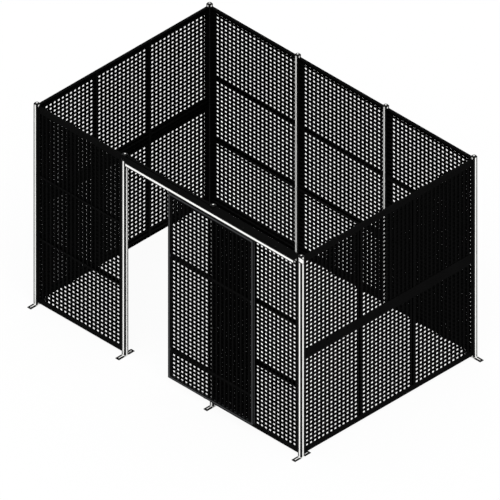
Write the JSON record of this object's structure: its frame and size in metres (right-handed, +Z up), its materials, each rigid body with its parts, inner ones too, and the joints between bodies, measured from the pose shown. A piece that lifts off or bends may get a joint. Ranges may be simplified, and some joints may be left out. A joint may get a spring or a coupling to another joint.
{
  "type": "wire mesh room with sliding door",
  "caption": "Free-standing roofless room of framed wire mesh panels between square posts, with an outside sliding mesh door on a header track.",
  "frame": {"origin": "middle of the front left post at floor level, under its base plate", "axes": "+X along the front wall, to the right seen from outside; +Y from the front wall to the back wall; +Z up"},
  "size_m": [4.0386, 2.7178, 2.5131],
  "materials": {
    "white_powder_coat": "smooth white powder coat, semi-gloss",
    "black_powder_coat": "black powder coat, satin",
    "charcoal_powder_coat": "charcoal powder coat, satin",
    "zinc_plated_steel": "bright zinc plated",
    "black_zinc_steel": "black zinc plated",
    "nylon": "natural nylon, turned",
    "rubber": "black rubber"
  },
  "bodies": {
    "room": {"post_front_left": "white_powder_coat", "post_door_left": "white_powder_coat", "post_door_right": "white_powder_coat", "post_front_right": "white_powder_coat", "post_back_right": "white_powder_coat", "post_back_mid_right": "white_powder_coat", "post_back_mid_left": "white_powder_coat", "post_back_left": "white_powder_coat", "post_caps": "white_powder_coat", "base_plates": "white_powder_coat", "front_left_frame": "black_powder_coat", "front_left_mesh": "black_powder_coat", "front_right_frame": "black_powder_coat", "front_right_mesh": "black_powder_coat", "back_left_frame": "black_powder_coat", "back_left_mesh": "black_powder_coat", "back_mid_frame": "black_powder_coat", "back_mid_mesh": "black_powder_coat", "back_right_frame": "black_powder_coat", "back_right_mesh": "black_powder_coat", "left_lower_frame": "black_powder_coat", "left_lower_mesh": "black_powder_coat", "left_upper_frame": "black_powder_coat", "left_upper_mesh": "black_powder_coat", "right_lower_frame": "black_powder_coat", "right_lower_mesh": "black_powder_coat", "right_upper_frame": "black_powder_coat", "right_upper_mesh": "black_powder_coat", "panel_bolts": "black_zinc_steel", "post_nuts": "zinc_plated_steel", "joint_nuts": "black_zinc_steel", "header_rail": "black_powder_coat", "top_rail": "black_powder_coat", "header_angle": "black_powder_coat", "header_bolts": "black_zinc_steel", "header_end_plate": "white_powder_coat", "end_plate_screws": "zinc_plated_steel", "track": "white_powder_coat", "track_bolts": "black_zinc_steel", "track_nuts": "black_zinc_steel", "track_stops": "zinc_plated_steel", "stop_buffers": "rubber", "guide_bracket": "black_powder_coat", "guide_bolts": "black_zinc_steel", "guide_pin": "zinc_plated_steel"},
    "door": {"door_frame": "charcoal_powder_coat", "door_mid_rails": "black_powder_coat", "door_bottom_channel": "charcoal_powder_coat", "door_mesh": "black_powder_coat", "hanger_plates": "black_zinc_steel", "hanger_screws": "black_zinc_steel", "hanger_bolts": "black_zinc_steel", "hanger_nuts": "black_zinc_steel", "trolley_bodies": "zinc_plated_steel", "trolley_axles": "zinc_plated_steel"},
    "wheels_left_front": {"wheels_left_front": "nylon"},
    "wheels_left_rear": {"wheels_left_rear": "nylon"},
    "wheels_right_front": {"wheels_right_front": "nylon"},
    "wheels_right_rear": {"wheels_right_rear": "nylon"},
    "guide_roller": {"guide_roller": "nylon"}
  },
  "joints": [
    {"name": "door_slide", "type": "slide", "parent": "room", "child": "door", "axis": [1, 0, 0], "range_m": [-0.6834, 0.49623]},
    {"name": "wheels_left_front_roll", "type": "hinge", "parent": "door", "child": "wheels_left_front", "pos_m": [2.1159, -0.0703, 2.4627], "axis": [0, 1, 0], "continuous": true},
    {"name": "wheels_left_rear_roll", "type": "hinge", "parent": "door", "child": "wheels_left_rear", "pos_m": [2.1739, -0.0703, 2.4627], "axis": [0, 1, 0], "continuous": true},
    {"name": "wheels_right_front_roll", "type": "hinge", "parent": "door", "child": "wheels_right_front", "pos_m": [3.0029, -0.0703, 2.4627], "axis": [0, 1, 0], "continuous": true},
    {"name": "wheels_right_rear_roll", "type": "hinge", "parent": "door", "child": "wheels_right_rear", "pos_m": [3.0609, -0.0703, 2.4627], "axis": [0, 1, 0], "continuous": true},
    {"name": "guide_roller_roll", "type": "hinge", "parent": "room", "child": "guide_roller", "pos_m": [2.4926, -0.0703, 0.1197], "axis": [0, 0, 1], "continuous": true}
  ],
  "couplings": [
    {"joint": "wheels_left_front_roll", "follows": "door_slide", "rad_per_m": 66.667},
    {"joint": "wheels_left_rear_roll", "follows": "door_slide", "rad_per_m": 66.667},
    {"joint": "wheels_right_front_roll", "follows": "door_slide", "rad_per_m": 66.667},
    {"joint": "wheels_right_rear_roll", "follows": "door_slide", "rad_per_m": 66.667},
    {"joint": "guide_roller_roll", "follows": "door_slide", "rad_per_m": 74.212}
  ]
}
